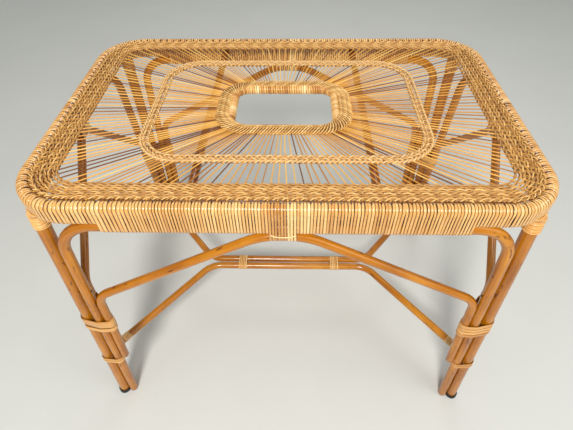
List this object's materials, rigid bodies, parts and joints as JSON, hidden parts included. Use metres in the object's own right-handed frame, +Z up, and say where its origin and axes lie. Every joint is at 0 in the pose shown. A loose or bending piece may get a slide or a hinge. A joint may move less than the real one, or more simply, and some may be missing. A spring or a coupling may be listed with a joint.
{
  "type": "table",
  "caption": "Rectangular rattan table with rounded corners: cane-wound rim, openwork radial reed top with an open centre, bundled bent-pole legs, arches and low stretchers.",
  "frame": {"origin": "on the floor, under the middle of the top", "axes": "+X along the long side, +Y towards the back, +Z up"},
  "size_m": [0.951, 0.695, 0.7215],
  "materials": {
    "inner_poles": "smooth varnished rattan core pole, hidden under cane winding",
    "leg_rattan": "honey-amber varnished rattan pole, satin gloss, darker nodes and flecks",
    "u_rattan": "honey-amber varnished rattan pole, satin gloss",
    "arch_rattan": "honey-amber varnished rattan pole, satin gloss",
    "stretcher_rattan": "honey-amber varnished rattan pole, satin gloss",
    "cross_rattan": "brown varnished rattan pole, satin",
    "rim_cane": "flat glossy cane strips wound side by side, uneven gold to straw",
    "ring_cane": "flat glossy cane strips wound round a ring",
    "strap_cane": "wide flat cane strap, satin",
    "binding_cane": "thin cane winding, satin",
    "band_weave": "twined round reed in rows, matt to satin, golden brown",
    "middle_braid": "twined round reed rope rows, pale straw",
    "centre_braid": "braided round reed, golden brown",
    "spoke_reed": "thin round reed, golden with some dark brown ones, satin",
    "foot_rubber": "black rubber cap, matt",
    "nails": "small dark round nail heads"
  },
  "bodies": {
    "root": {"top_rim_pole": "inner_poles", "lower_rim_pole": "inner_poles", "front_rim_wrap": "rim_cane", "back_rim_wrap": "rim_cane", "left_rim_wrap": "rim_cane", "right_rim_wrap": "rim_cane", "corner_rim_wraps": "rim_cane", "woven_band": "band_weave", "front_spokes": "spoke_reed", "back_spokes": "spoke_reed", "left_spokes": "spoke_reed", "right_spokes": "spoke_reed", "middle_braid": "middle_braid", "centre_ring_pole": "inner_poles", "centre_ring_wrap": "ring_cane", "centre_braid": "centre_braid", "left_cross_pole": "cross_rattan", "right_cross_pole": "cross_rattan", "front_left_leg_pole": "leg_rattan", "front_right_leg_pole": "leg_rattan", "back_left_leg_pole": "leg_rattan", "back_right_leg_pole": "leg_rattan", "front_u_pole": "u_rattan", "back_u_pole": "u_rattan", "left_u_pole": "u_rattan", "right_u_pole": "u_rattan", "front_arch": "arch_rattan", "back_arch": "arch_rattan", "left_arch": "arch_rattan", "right_arch": "arch_rattan", "front_stretcher": "stretcher_rattan", "back_stretcher": "stretcher_rattan", "stretcher_bindings": "binding_cane", "front_arch_binding": "binding_cane", "back_arch_binding": "binding_cane", "left_arch_binding": "binding_cane", "right_arch_binding": "binding_cane", "front_left_upper_strap": "strap_cane", "front_right_upper_strap": "strap_cane", "back_left_upper_strap": "strap_cane", "back_right_upper_strap": "strap_cane", "front_left_lower_strap": "strap_cane", "front_right_lower_strap": "strap_cane", "back_left_lower_strap": "strap_cane", "back_right_lower_strap": "strap_cane", "leg_head_wraps": "binding_cane", "stretcher_end_wraps": "binding_cane", "front_left_foot_cap": "foot_rubber", "front_right_foot_cap": "foot_rubber", "back_left_foot_cap": "foot_rubber", "back_right_foot_cap": "foot_rubber", "leg_nails": "nails"}
  },
  "joints": []
}
